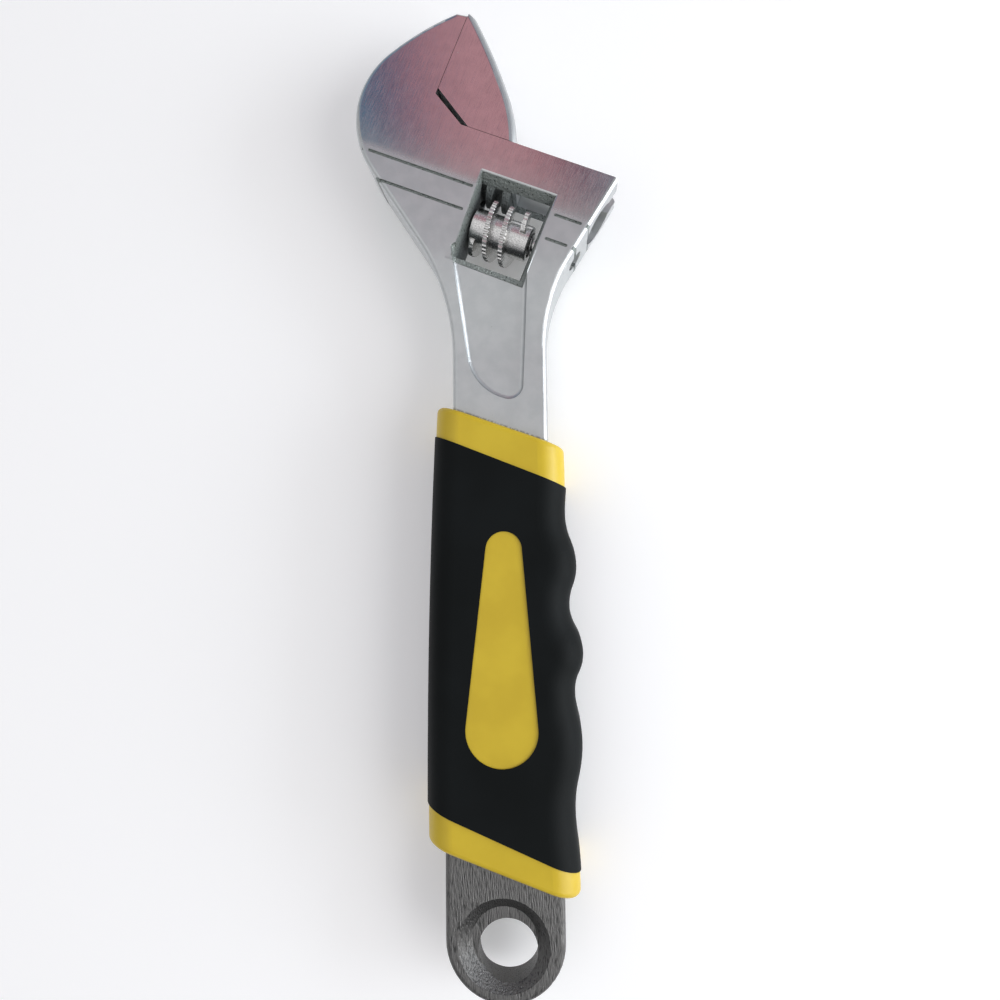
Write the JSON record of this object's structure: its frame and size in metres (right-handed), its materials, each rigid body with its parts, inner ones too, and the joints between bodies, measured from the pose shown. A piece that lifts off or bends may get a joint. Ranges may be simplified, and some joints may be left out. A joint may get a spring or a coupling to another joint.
{
  "type": "adjustable wrench",
  "caption": "Adjustable wrench with a worm-driven sliding jaw, a slanted head, a hanging hole and a two-colour moulded grip with finger hollows.",
  "frame": {"origin": "centre of the hanging hole in the handle's end, at mid thickness", "axes": "+Y along the handle to the jaws, +X to the side that the jaw opens to, +Z out of the front face, along the hanging hole"},
  "size_m": [0.0687, 0.2533, 0.022],
  "materials": {
    "plated_steel": "satin plated forging, polished on the jaw faces",
    "bright_steel": "bright machined steel",
    "yellow_plastic": "satin moulded",
    "black_rubber": "soft matte moulded"
  },
  "bodies": {
    "wrench": {"body": "plated_steel", "worm_pin": "bright_steel", "worm_spring": "bright_steel", "grip_core": "yellow_plastic", "grip_cover": "black_rubber"},
    "jaw": {"movable_jaw": "plated_steel"},
    "worm": {"worm": "bright_steel"}
  },
  "joints": [
    {"name": "jaw_slide", "type": "slide", "parent": "wrench", "child": "jaw", "axis": [0.9239, -0.3827, 0], "range_m": [0, 0.029]},
    {"name": "worm_turn", "type": "hinge", "parent": "wrench", "child": "worm", "pos_m": [0.00061, 0.18325, 0], "axis": [-0.9239, 0.3827, 0], "range_deg": [0, 2330]}
  ],
  "couplings": [
    {"joint": "worm_turn", "follows": "jaw_slide", "rad_per_m": 1396.3}
  ]
}
